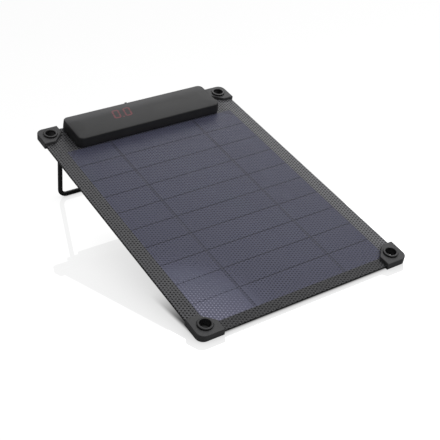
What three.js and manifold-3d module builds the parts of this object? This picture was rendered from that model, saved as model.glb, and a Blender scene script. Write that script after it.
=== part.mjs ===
// A small folding camp solar panel: a rigid laminate with ten cell strips, a slim
// charge controller across its rear edge, four slotted corner guards with eyelets,
// and a bent-wire kickstand that hinges on a plate under the rear edge.
//
// Millimetres. +X right, +Y from the near edge towards the controller, +Z up.
// The panel stands open on a level surface, with the origin on that surface in the
// middle of its bounding box.
//
// Parts are drawn in the panel's own axes (x across, y up the panel from the front
// edge of the guards, z out of the cells from the underside of the guards). The
// group is then tilted about x. A span is a [low, high] pair along one axis.
import * as THREE from "three";
import { mergeVertices } from "three/addons/utils/BufferGeometryUtils.js";
import Module from "manifold-3d";

const wasm = await Module();
wasm.setup();

// ---- driving dimensions ----
const TILT = THREE.MathUtils.degToRad(13.9); // panel to the ground, stand open

const LAMINATE_HALF = 90; // half its width
const LAMINATE_Y = [1.5, 256.5];
const LAMINATE_R = 5;
const BOARD_Z = [1.0, 2.2];
const FILM_Z = [2.25, 2.9];
const POCKET_TOP = 2.75; // underside of the film over the cells

const CELL_HALF = 78.45; // half a strip's length
const CELL_ROWS = 10;
const CELL_PITCH = 21.34;
const CELL_GAP = 0.7;
const CELL_Y0 = 10.2;
const CELL_END = CELL_Y0 + CELL_ROWS * CELL_PITCH;
const CELL_Z = [2.36, 2.56];
const CELL_CHAMFER = 9;

const GUARD_OUT = 9.5; // from the eyelet to the guard's outer edges
const GUARD_IN = 10; // from the eyelet to the ends of its arms
const GUARD_CUT = 0.1; // where the diagonal inner edge starts
const GUARD_R = 6;
const GUARD_TOP = 5.6;
const GUARD_SLOT = [0.95, 2.95];
const EYELET_X = 81.75;
const EYELET_Y = [GUARD_OUT, 248.5]; // front, rear

const BOX_HALF = 67.5; // controller housing, half its width
const BOX_Y = [224.5, 257];
const BOX_R = 5;
const BOX_BOTTOM = 3.3;
const BOX_TOP = 12.4;
const BOX_WALL = 1.8;
const BOX_ROOF = 1.5;
const SHELL_HALF = 68; // outside of the cover
const SHELL_Y = [223.4, 257.8];
const SHELL_R = 5;
const SHELL_BEVEL = 1;
const BOSSES = [ // x, y
  [-52, 230.5],
  [52, 230.5],
  [-52, 251],
  [52, 251],
];
const BOSS_HOLE_R = 1.5; // clearance for the rear screws
const LEAD_X = 3;
const LEAD_Y = 232;
const PORT_X = 2; // middle of the USB socket
const PORT_Z = 7.5;
const FLAP_X = 1; // middle of the port cover
const FLAP_HALF = 10.2;
const FLAP_Y = 257.1; // port cover's axis
const FLAP_Z = 4.1;
const FLAP_R = 0.7; // half its thickness

const HINGE_Y = 247.6; // stand axis
const HINGE_Z = -3.0;
const WIRE_R = 2.0;
const STAND_HALF = 73.9; // leg centreline from the middle
const STAND_REACH = 55.9; // hinge axis to the foot bar's centreline
const STAND_SLOPE = [1.35, 55.88]; // the leg's run forward for its drop
const PLATE_BOTTOM = -6.2; // underside of the hinge plate

const OVERRUN = 1; // how far a cutter passes the face it opens
const THROUGH = [-20, 20]; // z span of a cutter that goes right through
const SIDES = [
  ["left", -1],
  ["right", 1],
];

// ---- finishes ----
const FINISH = {
  film: { color: 0x4b4b4e, roughness: 0.35 },
  backing: { color: 0x222224, roughness: 0.6 },
  cell: { color: 0x3d4058, roughness: 0.3, metalness: 0.1 },
  ribbon: { color: 0xb9bcc0, roughness: 0.4, metalness: 0.9 },
  guard: { color: 0x3a3a3c, roughness: 0.55 },
  eyelet: { color: 0x1d1d1f, roughness: 0.35 },
  washer: { color: 0x1d1d1f, roughness: 0.45 },
  cover: { color: 0x3a3a3c, roughness: 0.5 },
  gasket: { color: 0x101012, roughness: 0.9 },
  base: { color: 0x1b1b1d, roughness: 0.6 },
  circuitBoard: { color: 0x1f4d33, roughness: 0.5 },
  boardScrew: { color: 0xb9bcc0, roughness: 0.35, metalness: 0.9 },
  display: { color: 0xd9d9d6, roughness: 0.6 },
  socket: { color: 0xc4c6c9, roughness: 0.3, metalness: 1 },
  tongue: { color: 0x202022, roughness: 0.5 },
  chip: { color: 0x17171a, roughness: 0.5 },
  inductor: { color: 0x2b2b2e, roughness: 0.6 },
  capacitor: { color: 0xb8babd, roughness: 0.35, metalness: 0.8 },
  redLead: { color: 0x8c1f1f, roughness: 0.5 },
  blackLead: { color: 0x111113, roughness: 0.5 },
  rubber: { color: 0x2a2a2c, roughness: 0.75 },
  plate: { color: 0x2a2a2c, roughness: 0.6 },
  rearScrew: { color: 0x3b3b3e, roughness: 0.35, metalness: 0.9 },
  wire: { color: 0x161618, roughness: 0.35, metalness: 0.6 },
};

// ---- spans ----
const around = (middle, reach) => [middle - reach, middle + reach];
const widen = ([low, high], grow) => [low - grow, high + grow];
const above = (level, [low, high]) => [level + low, level + high];
const middleOf = ([low, high]) => (low + high) / 2;
const lengthOf = ([low, high]) => high - low;
// A span given for the right side, mirrored when side is -1.
const onSide = (side, [inner, outer]) => (side < 0 ? [-outer, -inner] : [inner, outer]);

// ---- solids ----
// Welds a geometry into a manifold body, facing outwards.
function solid(geometry) {
  const loose = geometry.index ? geometry.toNonIndexed() : geometry.clone();
  for (const key of Object.keys(loose.attributes)) {
    if (key !== "position") loose.deleteAttribute(key);
  }
  const merged = mergeVertices(loose, 1e-4);
  const triVerts = new Uint32Array(merged.index.array);
  const vertProperties = merged.attributes.position.array;
  const build = () =>
    new wasm.Manifold(new wasm.Mesh({ numProp: 3, vertProperties, triVerts }));
  const body = build();
  if (body.volume() >= 0) return body;
  for (let i = 0; i < triVerts.length; i += 3) {
    [triVerts[i + 1], triVerts[i + 2]] = [triVerts[i + 2], triVerts[i + 1]];
  }
  return build();
}

function geometryOf(body) {
  const mesh = body.getMesh();
  const positions = new Float32Array(mesh.vertProperties);
  const geometry = new THREE.BufferGeometry();
  geometry.setAttribute("position", new THREE.BufferAttribute(positions, 3));
  geometry.setIndex(new THREE.BufferAttribute(new Uint32Array(mesh.triVerts), 1));
  geometry.computeVertexNormals();
  return geometry;
}

const cut = (body, ...tools) => tools.reduce((rest, tool) => rest.subtract(tool), body);
const join = (body, ...more) => more.reduce((whole, part) => whole.add(part), body);

function box(...spans) {
  return solid(
    new THREE.BoxGeometry(...spans.map(lengthOf)).translate(...spans.map(middleOf)),
  );
}

// A cylinder or cone frustum along +Z.
function post(x, y, radius, zSpan, segments = 24, topRadius = radius) {
  return solid(
    new THREE.CylinderGeometry(topRadius, radius, lengthOf(zSpan), segments)
      .rotateX(Math.PI / 2)
      .translate(x, y, middleOf(zSpan)),
  );
}

// A cylinder along +X.
function rod(y, z, radius, xSpan, segments) {
  return solid(
    new THREE.CylinderGeometry(radius, radius, lengthOf(xSpan), segments)
      .rotateZ(Math.PI / 2)
      .translate(middleOf(xSpan), y, z),
  );
}

function extrude(shape, depth, curveSegments) {
  return new THREE.ExtrudeGeometry(shape, { depth, bevelEnabled: false, curveSegments });
}

function prism(shape, zSpan, curveSegments = 4) {
  return solid(extrude(shape, lengthOf(zSpan), curveSegments).translate(0, 0, zSpan[0]));
}

// The shape lies in the y-z plane and runs along x.
function prismAlongX(shape, xSpan, curveSegments) {
  return solid(
    extrude(shape, lengthOf(xSpan), curveSegments)
      .rotateX(Math.PI / 2)
      .rotateZ(Math.PI / 2)
      .translate(xSpan[0], 0, 0),
  );
}

function polygon(points) {
  return new THREE.Shape(points.map(([x, y]) => new THREE.Vector2(x, y)));
}

function roundedRect([x0, x1], [y0, y1], radius) {
  const shape = new THREE.Shape();
  const corner = (x, y, quarter) => {
    const start = (quarter * Math.PI) / 2;
    shape.absarc(x, y, radius, start, start + Math.PI / 2, false);
  };
  shape.moveTo(x0 + radius, y0);
  shape.lineTo(x1 - radius, y0);
  corner(x1 - radius, y0 + radius, -1);
  shape.lineTo(x1, y1 - radius);
  corner(x1 - radius, y1 - radius, 0);
  shape.lineTo(x0 + radius, y1);
  corner(x0 + radius, y1 - radius, 1);
  shape.lineTo(x0, y0 + radius);
  corner(x0 + radius, y0 + radius, 2);
  return shape;
}

// A turned ring about a vertical axis; profile is a loop of [radius, z].
function turned(x, y, profile) {
  const loop = [...profile, profile[0]].map((point) => new THREE.Vector2(...point));
  return solid(new THREE.LatheGeometry(loop, 24).rotateX(Math.PI / 2).translate(x, y, 0));
}

const atBosses = (make) => BOSSES.map(([x, y]) => make(x, y));

// ---- the group of named meshes ----
const panel = new THREE.Group();

function add(name, body, finish) {
  const mesh = new THREE.Mesh(geometryOf(body), new THREE.MeshStandardMaterial(finish));
  mesh.name = name;
  panel.add(mesh);
}

// ---- laminate ----
function sheet(zSpan, grow = 0) {
  const outline = roundedRect(
    around(0, LAMINATE_HALF + grow),
    widen(LAMINATE_Y, grow),
    LAMINATE_R + grow,
  );
  return prism(outline, zSpan);
}

const leadSlot = () => box(around(0, 6), around(LEAD_Y, 2), THROUGH);
const bossHoles = () => atBosses((x, y) => post(x, y, BOSS_HOLE_R, THROUGH, 12));

const eyelets = EYELET_Y.flatMap((y) => [-EYELET_X, EYELET_X].map((x) => [x, y]));
const laminateHoles = [
  ...eyelets.map(([x, y]) => post(x, y, 5.2, THROUGH, 20)),
  ...bossHoles(),
  leadSlot(),
];

// The cell field's outline, with clipped corners.
function fieldShape(grow) {
  const x = CELL_HALF + grow;
  const xClip = x - CELL_CHAMFER;
  const [y0, y1] = widen([CELL_Y0, CELL_END], grow);
  const [yClip0, yClip1] = [y0 + CELL_CHAMFER, y1 - CELL_CHAMFER];
  return polygon([
    [-xClip, y0], [xClip, y0], [x, yClip0], [x, yClip1],
    [xClip, y1], [-xClip, y1], [-x, yClip1], [-x, yClip0],
  ]);
}

function frontFilm() {
  const pocketZ = [FILM_Z[0] - OVERRUN, POCKET_TOP];
  const pocket = join(
    prism(fieldShape(0.6), pocketZ),
    box(around(0, 44), [CELL_END - OVERRUN, 234.2], pocketZ), // over the rear ribbons
  );
  return cut(sheet(FILM_Z), pocket, ...laminateHoles);
}
add("front_film", frontFilm(), FINISH.film);
add("backing_board", cut(sheet(BOARD_Z), ...laminateHoles), FINISH.backing);

// The first and last strips have clipped outer corners.
function cellStrip(row) {
  const y0 = CELL_Y0 + row * CELL_PITCH + CELL_GAP / 2;
  const strip = box(around(0, CELL_HALF), [y0, y0 + CELL_PITCH - CELL_GAP], CELL_Z);
  const atEnd = row === 0 || row === CELL_ROWS - 1;
  return atEnd ? strip.intersect(prism(fieldShape(0), THROUGH)) : strip;
}
for (let row = 0; row < CELL_ROWS; row++) {
  const number = String(row + 1).padStart(2, "0");
  add("cell_strip_" + number, cellStrip(row), FINISH.cell);
}

const BUSBAR_X = 39.7;
const BUSBAR_HALF = 1.3; // half its width
const RIBBON_END = 229; // rear end of the busbars and edge of the rear cross ribbon
const CROSS_X = around(0, 42);
const LOW_RIBBON_Z = [2.23, 2.31]; // below the cells
const BUSBAR_Z = [2.61, 2.7];
for (const [name, side] of SIDES) {
  const xSpan = around(side * BUSBAR_X, BUSBAR_HALF);
  const busbar = box(xSpan, [CELL_Y0 + 1, RIBBON_END], BUSBAR_Z);
  add("busbar_ribbon_" + name, busbar, FINISH.ribbon);
}
const RIBBONS = { // x, y and z spans
  cross_ribbon_front: [CROSS_X, [11, 14], LOW_RIBBON_Z],
  cross_ribbon_rear: [CROSS_X, [226, RIBBON_END], [2.46, 2.56]],
  return_ribbon: [[-5, -1], [14.1, 233], LOW_RIBBON_Z],
};
for (const [name, spans] of Object.entries(RIBBONS)) {
  add(name, box(...spans), FINISH.ribbon);
}

// ---- corner guards, eyelets and their washers ----
const EYELET_FOOT = 0.05; // bottom of eyelet and washer
const EYELET_TOP = 6.9;
const EYELET_BORE_R = 4.1;
const EYELET_BARREL_R = 4.85;
const EYELET_HEAD_R = 5.65;
const HEAD_BOTTOM = GUARD_TOP - 0.35;
const HEAD_EDGE = EYELET_TOP - 0.35; // where the head's edges start to slope
const HEAD_SLOPE = 0.3; // how far they slope in
const WASHER_R = [4.95, 6.5];
const WASHER_TOP = 0.5;

// A rounded outer corner, two arms and a diagonal inner edge.
function guardShape(x, y, xSide, ySide) {
  const arcCentre = GUARD_OUT - GUARD_R;
  const points = [[-GUARD_IN, GUARD_OUT]];
  for (let k = 0; k <= 6; k++) {
    const angle = THREE.MathUtils.degToRad(90 - 15 * k);
    points.push([
      arcCentre + GUARD_R * Math.cos(angle),
      arcCentre + GUARD_R * Math.sin(angle),
    ]);
  }
  points.push([GUARD_OUT, -GUARD_IN], [-GUARD_CUT, -GUARD_IN], [-GUARD_IN, -GUARD_CUT]);
  return polygon(points.map(([across, along]) => [x + xSide * across, y + ySide * along]));
}

function cornerGuard(x, y, xSide, ySide) {
  return cut(
    prism(guardShape(x, y, xSide, ySide), [0, GUARD_TOP]),
    sheet(GUARD_SLOT, 0.05),
    post(x, y, 5.0, THROUGH),
    post(x, y, 6.1, [GUARD_TOP - 0.4, GUARD_TOP + OVERRUN]), // seat round the eyelet
    post(x, y, 6.6, [-OVERRUN, 0.55]), // recess for the washer
  );
}

const EYELET_PROFILE = [ // radius, z
  [EYELET_BORE_R, EYELET_FOOT],
  [EYELET_BARREL_R, EYELET_FOOT],
  [EYELET_BARREL_R, HEAD_BOTTOM],
  [EYELET_HEAD_R, HEAD_BOTTOM],
  [EYELET_HEAD_R, HEAD_EDGE],
  [EYELET_HEAD_R - HEAD_SLOPE, EYELET_TOP],
  [EYELET_BORE_R + HEAD_SLOPE, EYELET_TOP],
  [EYELET_BORE_R, HEAD_EDGE],
];
const WASHER_PROFILE = [ // radius, z
  [WASHER_R[0], EYELET_FOOT],
  [WASHER_R[1], EYELET_FOOT],
  [WASHER_R[1], WASHER_TOP],
  [WASHER_R[0], WASHER_TOP],
];

for (const [x, y] of eyelets) {
  const xSide = Math.sign(x);
  const ySide = y === EYELET_Y[0] ? -1 : 1;
  const where = (ySide < 0 ? "front" : "rear") + (xSide < 0 ? "_left" : "_right");
  add("corner_guard_" + where, cornerGuard(x, y, xSide, ySide), FINISH.guard);
  add("eyelet_" + where, turned(x, y, EYELET_PROFILE), FINISH.eyelet);
  add("eyelet_washer_" + where, turned(x, y, WASHER_PROFILE), FINISH.washer);
}

// ---- controller housing ----
const BASE_BOTTOM = 2.95; // base and gasket
const BOARD_SCREW_X = 40;
const BOARD_SCREW_Y = 241;
const CIRCUIT_Z = [5.55, 6.55];
const PART_Z = 6.6; // underside of the parts on the circuit board
const DISPLAY_X = -19.3;
const DISPLAY_Y = 244;
const DISPLAY_HALF = [11, 7.4]; // in x and y
const DISPLAY_GAP = 0.3;
const WELL_X = [[-28.4, -20.2], [-18.6, -10.4]]; // the display's two wells

// The housing's outline, inset all round.
const boxPrism = (inset, zSpan) =>
  prism(
    roundedRect(around(0, BOX_HALF - inset), widen(BOX_Y, -inset), BOX_R - inset),
    zSpan,
  );
const atBoardScrews = (radius, zSpan, segments) =>
  SIDES.map(([, side]) => post(side * BOARD_SCREW_X, BOARD_SCREW_Y, radius, zSpan, segments));

// Bevelled above and below, then trimmed flat at the bottom.
function coverBlock() {
  const outline = roundedRect(
    around(0, SHELL_HALF - SHELL_BEVEL),
    widen(SHELL_Y, -SHELL_BEVEL),
    SHELL_R - SHELL_BEVEL,
  );
  const block = new THREE.ExtrudeGeometry(outline, {
    depth: BOX_TOP - 2 * SHELL_BEVEL,
    bevelEnabled: true,
    bevelThickness: SHELL_BEVEL,
    bevelSize: SHELL_BEVEL,
    bevelSegments: 3,
    curveSegments: 5,
  }).translate(0, 0, SHELL_BEVEL);
  const keep = box(around(0, 100), [200, 300], [BOX_BOTTOM, BOX_TOP + OVERRUN]);
  return solid(block).intersect(keep);
}

function housingCover() {
  const ceiling = BOX_TOP - BOX_ROOF;
  const rearOut = 258; // just behind the cover
  const shell = cut(
    coverBlock(),
    boxPrism(BOX_WALL, [BOX_BOTTOM - OVERRUN, ceiling]),
    box( // thinned roof over the digits
      around(DISPLAY_X, DISPLAY_HALF[0] + DISPLAY_GAP),
      around(DISPLAY_Y, DISPLAY_HALF[1] + DISPLAY_GAP),
      [8, 11.7],
    ),
  );
  return cut(
    join(shell, ...atBosses((x, y) => post(x, y, 3, [4.3, ceiling + 0.5], 20))),
    ...atBosses((x, y) => post(x, y, 1.3, [4, 10.2], 12)),
    box(around(PORT_X, 6.65), [254, rearOut], around(PORT_Z, 2.95)),
    box( // recess for the port cover
      around(FLAP_X, FLAP_HALF + 0.3),
      [255.8, rearOut],
      [BOX_BOTTOM - OVERRUN, 11.05],
    ),
  );
}
add("housing_cover", housingCover(), FINISH.cover);

const gasket = cut(boxPrism(0.8, [BASE_BOTTOM, BOX_BOTTOM - 0.05]), boxPrism(1.6, THROUGH));
add("housing_gasket", gasket, FINISH.gasket);

function housingBase() {
  return cut(
    join(boxPrism(2.2, [BASE_BOTTOM, 4.15]), ...atBoardScrews(2.5, [4.1, 5.5], 16)),
    ...bossHoles(),
    ...atBoardScrews(0.9, [4.3, 6], 12),
    leadSlot(),
  );
}
add("housing_base", housingBase(), FINISH.base);

function circuitBoard() {
  return cut(
    box(around(0, 44), [229, 254], CIRCUIT_Z),
    box(around(PORT_X, 6.9), [242.6, 255], THROUGH), // notch for the socket
    ...atBoardScrews(1.1, THROUGH, 12),
  );
}
add("circuit_board", circuitBoard(), FINISH.circuitBoard);

const screwShanks = atBoardScrews(0.85, [4.6, 6.8], 12);
const screwHeads = atBoardScrews(1.7, [PART_Z, 7.6], 16);
SIDES.forEach(([name], i) => {
  add("board_screw_" + name, join(screwShanks[i], screwHeads[i]), FINISH.boardScrew);
});

// Two wells carry the figures' light to the roof.
function digitDisplay() {
  return cut(
    box(
      around(DISPLAY_X, DISPLAY_HALF[0]),
      around(DISPLAY_Y, DISPLAY_HALF[1]),
      [PART_Z, 11.5],
    ),
    ...WELL_X.map((xSpan) => box(xSpan, around(DISPLAY_Y, 6.4), [10.9, 12])),
  );
}
add("digit_display", digitDisplay(), FINISH.display);

// A thin-walled box, open to the rear.
function socketShell() {
  const [halfWidth, halfHeight, wall] = [6.55, 2.86, 0.3];
  const front = 243;
  return cut(
    box(around(PORT_X, halfWidth), [front, 255.7], around(PORT_Z, halfHeight)),
    box(
      around(PORT_X, halfWidth - wall),
      [front + wall, 258],
      around(PORT_Z, halfHeight - wall),
    ),
  );
}
add("usb_socket_shell", socketShell(), FINISH.socket);

const socketTongue = join(
  box(around(PORT_X, 6.1), [243.4, 245.2], around(PORT_Z, 2.4)),
  box(around(PORT_X, 5.55), [245, 254.6], above(PORT_Z, [0.2, 2.05])),
);
add("usb_socket_tongue", socketTongue, FINISH.tongue);

const capacitor = (x) => post(x, 247, 3.1, [PART_Z, 10.6]);
const inductorShape = roundedRect([20, 27.4], [232.6, 240], 1.4);
add("regulator_chip", box([31, 36], [234, 238], [PART_Z, 8.1]), FINISH.chip);
add("power_inductor", prism(inductorShape, [PART_Z, 10.5], 2), FINISH.inductor);
add("input_capacitor", capacitor(34), FINISH.capacitor);
add("output_capacitor", capacitor(20), FINISH.capacitor);
add("blocking_diode", box(around(0, 2.3), [236.4, 239.2], [PART_Z, 8.8]), FINISH.chip);

const lead = (x) => post(x, LEAD_Y, 0.65, [2.4, 5.5], 12);
add("lead_positive", lead(-LEAD_X), FINISH.redLead);
add("lead_negative", lead(LEAD_X), FINISH.blackLead);

// ---- rubber port cover: its lower edge is round about the hinge axis ----
function portCover() {
  const height = 6.85;
  const chamfer = 0.25;
  const profile = new THREE.Shape();
  profile.moveTo(-FLAP_R, 0);
  profile.absarc(0, 0, FLAP_R, Math.PI, 2 * Math.PI, false);
  profile.lineTo(FLAP_R, height - chamfer);
  profile.lineTo(FLAP_R - chamfer, height);
  profile.lineTo(-FLAP_R, height);
  const plate = prismAlongX(profile, around(FLAP_X, FLAP_HALF), 6);
  const tabX = [-8.2, -6.2];
  return join(
    plate.translate([0, FLAP_Y, FLAP_Z]),
    box(tabX, above(FLAP_Y, [0.6, 2.05]), [8.4, 10.9]), // pull tab
    box(tabX, above(FLAP_Y, [0.9, 2.05]), [8.4, 11.5]), // its taller outer part
    box( // plug
      around(PORT_X, 5.6),
      above(FLAP_Y, [-1.65, -0.6]),
      above(PORT_Z, [-1.6, 1.7]),
    ),
  );
}
add("port_cover", portCover(), FINISH.rubber);

// ---- hinge plate: a shallow tray that holds the stand's ends and its stops ----
const PLATE_HALF = 66;
const PLATE_Y = [226, 256];
const RIB_X = [-30, 0, 30];
const STOP_TOP = -0.35;
const STOP_REAR = HINGE_Y + 5.8;
const STOP_PROFILE = [ // y, z
  [HINGE_Y + 2.18, STOP_TOP],
  [HINGE_Y + 2.18, HINGE_Z],
  [HINGE_Y + 2.13, -5.0],
  [HINGE_Y + 4.6, -5.0],
  [STOP_REAR, -3.6],
  [STOP_REAR, STOP_TOP],
];

// The tray's hollow, less the bosses, hinge blocks and ribs left standing in it.
function plateHollow() {
  const hollow = roundedRect(around(0, 64.2), [227.8, 254.4], 2);
  return cut(
    prism(hollow, [PLATE_BOTTOM + 1.6, 1.5]),
    ...atBosses((x, y) => post(x, y, 3.7, THROUGH, 16)),
    ...SIDES.map(([, side]) =>
      box(onSide(side, [57, PLATE_HALF]), around(HINGE_Y, 4), THROUGH),
    ),
    ...RIB_X.map((x) => box(around(x, 0.6), PLATE_Y, THROUGH)),
  );
}

function hingePlate() {
  const outline = roundedRect(around(0, PLATE_HALF), PLATE_Y, 3);
  const stop = (side) => prismAlongX(polygon(STOP_PROFILE), onSide(side, [65, 77]));
  const wireBore = (side) =>
    rod(HINGE_Y, HINGE_Z, WIRE_R + 0.05, onSide(side, [56.5, 67]), 20);
  const headRecess = (x, y) =>
    post(x, y, 2.75, above(PLATE_BOTTOM, [-0.1, 1.5]), 16, 1.4);
  return cut(
    join(
      cut(prism(outline, [PLATE_BOTTOM, 0.95]), plateHollow()),
      ...SIDES.map(([, side]) => stop(side)),
    ),
    ...SIDES.map(([, side]) => wireBore(side)),
    ...bossHoles(),
    ...atBosses(headRecess),
  );
}
add("rear_hinge_plate", hingePlate(), FINISH.plate);

// A countersunk screw with a cross recess in its head.
function rearScrew(x, y) {
  const [slotLength, slotWidth] = [1.5, 0.3]; // half sizes
  const slotZ = above(PLATE_BOTTOM, [-0.5, 0.75]);
  return cut(
    join(
      post(x, y, 2.5, above(PLATE_BOTTOM, [0.05, 1.4]), 16, 1.25),
      post(x, y, 1.2, [PLATE_BOTTOM + 1.3, 9.4], 16),
    ),
    box(around(x, slotLength), around(y, slotWidth), slotZ),
    box(around(x, slotWidth), around(y, slotLength), slotZ),
  );
}
BOSSES.forEach(([x, y], i) => {
  add("rear_screw_" + (i + 1), rearScrew(x, y), FINISH.rearScrew);
});

// ---- kickstand: one bent wire whose ends turn in to the hinge plate ----
const KNEE_R = 4.5;
const FOOT_R = 6;
const BEND_STEPS = 6;
const WIRE_END_X = 58;

// A centreline through stations of { point, heading }, evenly spaced in parameter.
class WireLine extends THREE.Curve {
  constructor(stations) {
    super();
    this.stations = stations;
  }
  blend(key, position, target) {
    const last = this.stations.length - 1;
    const i = Math.min(Math.floor(position * last), last - 1);
    const [from, to] = [this.stations[i], this.stations[i + 1]];
    return target.copy(from[key]).lerp(to[key], position * last - i);
  }
  getPointAt(position, target = new THREE.Vector3()) {
    return this.blend("point", position, target);
  }
  getTangentAt(position, target = new THREE.Vector3()) {
    return this.blend("heading", position, target).normalize();
  }
}

// Stations only where the wire bends, in the plane of the legs.
function standStations() {
  const [run, drop] = STAND_SLOPE;
  const legDown = new THREE.Vector3(0, -run, -drop).normalize();
  const station = (x, down, headingX, headingDown) => ({
    point: new THREE.Vector3(x, HINGE_Y, HINGE_Z).addScaledVector(legDown, down),
    heading: new THREE.Vector3(headingX, 0, 0)
      .addScaledVector(legDown, headingDown)
      .normalize(),
  });
  const bend = Array.from({ length: BEND_STEPS + 1 }, (_, k) => {
    const angle = ((Math.PI / 2) * k) / BEND_STEPS;
    return [Math.cos(angle), Math.sin(angle)];
  });
  const kneeX = -STAND_HALF + KNEE_R;
  const footX = -STAND_HALF + FOOT_R;
  const footDown = STAND_REACH - FOOT_R;
  const left = [
    station(-WIRE_END_X, 0, -1, 0),
    ...bend.map(([cos, sin]) =>
      station(kneeX - KNEE_R * sin, KNEE_R - KNEE_R * cos, -cos, sin),
    ),
    ...bend.map(([cos, sin]) =>
      station(footX - FOOT_R * cos, footDown + FOOT_R * sin, sin, cos),
    ),
  ];
  const right = left.toReversed().map(({ point, heading }) => ({
    point: new THREE.Vector3(-point.x, point.y, point.z),
    heading: new THREE.Vector3(heading.x, -heading.y, -heading.z),
  }));
  return [...left, ...right];
}

function standWire() {
  const stations = standStations();
  const section = new THREE.Shape();
  section.absarc(0, 0, WIRE_R, 0, 2 * Math.PI, false);
  return solid(
    new THREE.ExtrudeGeometry(section, {
      steps: stations.length - 1,
      curveSegments: 8,
      bevelEnabled: false,
      extrudePath: new WireLine(stations),
    }),
  );
}
add("stand_wire", standWire(), FINISH.wire);

// ---- tilt about x, then centre the bounding box over the origin ----
panel.rotation.x = TILT;
const model = new THREE.Group();
model.name = "folding_solar_panel";
model.add(panel);
model.updateMatrixWorld(true);
const { min, max } = new THREE.Box3().setFromObject(panel, true);
panel.position.set(-(min.x + max.x) / 2, -(min.y + max.y) / 2, -min.z);

export default model;
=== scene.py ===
import math
import bmesh
import bpy
import numpy as np
from mathutils import Matrix, Vector


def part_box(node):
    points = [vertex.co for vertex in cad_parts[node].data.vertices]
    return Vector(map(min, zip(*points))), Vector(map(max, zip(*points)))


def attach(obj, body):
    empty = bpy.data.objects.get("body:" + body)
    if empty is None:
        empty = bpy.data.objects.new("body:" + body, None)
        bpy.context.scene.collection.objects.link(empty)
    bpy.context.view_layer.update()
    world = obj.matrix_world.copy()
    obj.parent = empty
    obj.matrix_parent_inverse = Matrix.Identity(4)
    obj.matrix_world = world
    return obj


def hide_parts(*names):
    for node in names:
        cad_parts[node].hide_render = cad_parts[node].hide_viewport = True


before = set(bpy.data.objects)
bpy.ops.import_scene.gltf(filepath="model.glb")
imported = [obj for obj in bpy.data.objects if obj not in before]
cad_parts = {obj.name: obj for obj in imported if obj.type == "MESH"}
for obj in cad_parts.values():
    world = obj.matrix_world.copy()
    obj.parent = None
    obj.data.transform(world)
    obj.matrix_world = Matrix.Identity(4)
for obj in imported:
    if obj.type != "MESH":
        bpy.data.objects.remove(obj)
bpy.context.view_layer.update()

MM = 0.001
TILT = math.radians(13.9)

# The panel's own axes (mm: x across, y up the panel, z out of the cells) stand in the
# row frame tilted about the front guards' lower edge.
_lo, _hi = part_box("corner_guard_front_left")
OFF_Y = _lo.y + 5.6 * MM * math.sin(TILT)
PANEL = Matrix.Translation((0, OFF_Y, 0)) @ Matrix.Rotation(TILT, 4, "X")
TO_ROW = PANEL @ Matrix.Diagonal((MM, MM, MM, 1))


def row(x, y, z):
    return TO_ROW @ Vector((x, y, z))


# ---------------------------------------------------------------- mesh helpers
def obj_from_bm(name, bm):
    me = bpy.data.meshes.new(name)
    bm.normal_update()
    bm.to_mesh(me)
    bm.free()
    o = bpy.data.objects.new(name, me)
    bpy.context.scene.collection.objects.link(o)
    return o


def loop_rrect(x0, x1, y0, y1, r, n=10):
    pts = []
    for cx, cy, a0 in ((x1 - r, y1 - r, 0), (x0 + r, y1 - r, 90),
                       (x0 + r, y0 + r, 180), (x1 - r, y0 + r, 270)):
        for k in range(n + 1):
            a = math.radians(a0 + 90 * k / n)
            pts.append((cx + r * math.cos(a), cy + r * math.sin(a)))
    return pts


def prism(name, pts, z0, z1):
    bm = bmesh.new()
    vs = [bm.verts.new((x, y, z0)) for x, y in pts]
    f = bm.faces.new(vs)
    ex = bmesh.ops.extrude_face_region(bm, geom=[f])
    up = [v for v in ex["geom"] if isinstance(v, bmesh.types.BMVert)]
    bmesh.ops.translate(bm, verts=up, vec=(0, 0, z1 - z0))
    bmesh.ops.recalc_face_normals(bm, faces=bm.faces)
    return obj_from_bm(name, bm)


def cyl(name, x, y, r, z0, z1, n=64):
    return prism(name, [(x + r * math.cos(2 * math.pi * k / n),
                         y + r * math.sin(2 * math.pi * k / n)) for k in range(n)], z0, z1)


def block(name, x0, x1, y0, y1, z0, z1):
    return prism(name, [(x0, y0), (x1, y0), (x1, y1), (x0, y1)], z0, z1)


def along_x(name, pts, x0, x1):
    """A prism of (y, z) points running along x."""
    bm = bmesh.new()
    vs = [bm.verts.new((x0, y, z)) for y, z in pts]
    f = bm.faces.new(vs)
    ex = bmesh.ops.extrude_face_region(bm, geom=[f])
    up = [v for v in ex["geom"] if isinstance(v, bmesh.types.BMVert)]
    bmesh.ops.translate(bm, verts=up, vec=(x1 - x0, 0, 0))
    bmesh.ops.recalc_face_normals(bm, faces=bm.faces)
    return obj_from_bm(name, bm)


def rod_x(name, y, z, r, x0, x1, n=48):
    return along_x(name, [(y + r * math.cos(2 * math.pi * k / n),
                           z + r * math.sin(2 * math.pi * k / n)) for k in range(n)], x0, x1)


def stacked(name, loops):
    """Closed body from equal-length loops of (x, y, z), capped at both ends."""
    bm = bmesh.new()
    rings = [[bm.verts.new(p) for p in lp] for lp in loops]
    n = len(rings[0])
    for a, b in zip(rings, rings[1:]):
        for i in range(n):
            j = (i + 1) % n
            bm.faces.new((a[i], a[j], b[j], b[i]))
    bm.faces.new(list(reversed(rings[0])))
    bm.faces.new(rings[-1])
    bmesh.ops.recalc_face_normals(bm, faces=bm.faces)
    return obj_from_bm(name, bm)


def bevel_edges(o, pick, width, segments=3):
    bm = bmesh.new()
    bm.from_mesh(o.data)
    es = [e for e in bm.edges if pick(e)]
    bmesh.ops.bevel(bm, geom=es, offset=width, offset_type="OFFSET", segments=segments,
                    profile=0.5, affect="EDGES", clamp_overlap=True)
    bm.normal_update()
    bm.to_mesh(o.data)
    bm.free()


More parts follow.
